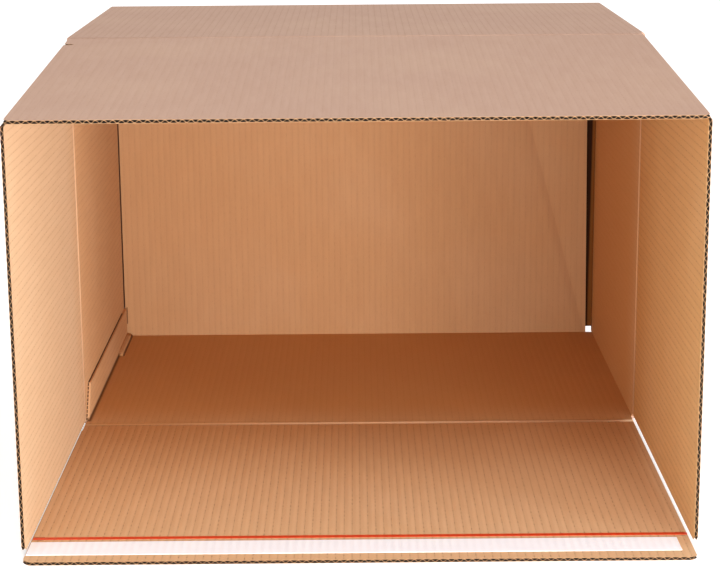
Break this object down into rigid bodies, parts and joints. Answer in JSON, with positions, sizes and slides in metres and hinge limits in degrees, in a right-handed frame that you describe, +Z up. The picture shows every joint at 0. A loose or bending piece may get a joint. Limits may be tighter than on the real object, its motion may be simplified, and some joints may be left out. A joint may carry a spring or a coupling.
{
  "type": "crash lock box",
  "caption": "Corrugated carton with a self-locking glued bottom, hinged side flaps and outer flaps, one with a peel-and-seal strip and tear tape.",
  "frame": {"origin": "on the ground under the middle of the box as it lies on a long wall", "axes": "+Z up from the wall it lies on, -Y out of the open mouth towards the flaps' free edges, +X to the right seen from the mouth"},
  "size_m": [0.537, 0.6974, 0.375],
  "materials": {
    "kraft_board": "matt",
    "red_film": "satin",
    "white_release_paper": "satin"
  },
  "bodies": {
    "carton": {"carton_body": "kraft_board"},
    "left_side_flap": {"left_flap": "kraft_board"},
    "right_side_flap": {"right_flap": "kraft_board"},
    "top_outer_flap": {"top_flap": "kraft_board"},
    "seal_outer_flap": {"seal_flap": "kraft_board", "tear_tape": "red_film", "release_liner": "white_release_paper"}
  },
  "joints": [
    {"name": "left_flap_crease", "type": "hinge", "parent": "carton", "child": "left_side_flap", "pos_m": [-0.2655, 0.01735, 0.187], "axis": [0, 0, 1], "range_deg": [-90, 90]},
    {"name": "right_flap_crease", "type": "hinge", "parent": "carton", "child": "right_side_flap", "pos_m": [0.2655, 0.01395, 0.187], "axis": [0, 0, -1], "range_deg": [-90, 90]},
    {"name": "top_flap_crease", "type": "hinge", "parent": "carton", "child": "top_outer_flap", "pos_m": [0, 0.01055, 0.372], "axis": [1, 0, 0], "range_deg": [-94.1, 85.9]},
    {"name": "seal_flap_crease", "type": "hinge", "parent": "carton", "child": "seal_outer_flap", "pos_m": [0, 0.00675, 0.003], "axis": [-1, 0, 0], "range_deg": [-90, 90]}
  ]
}
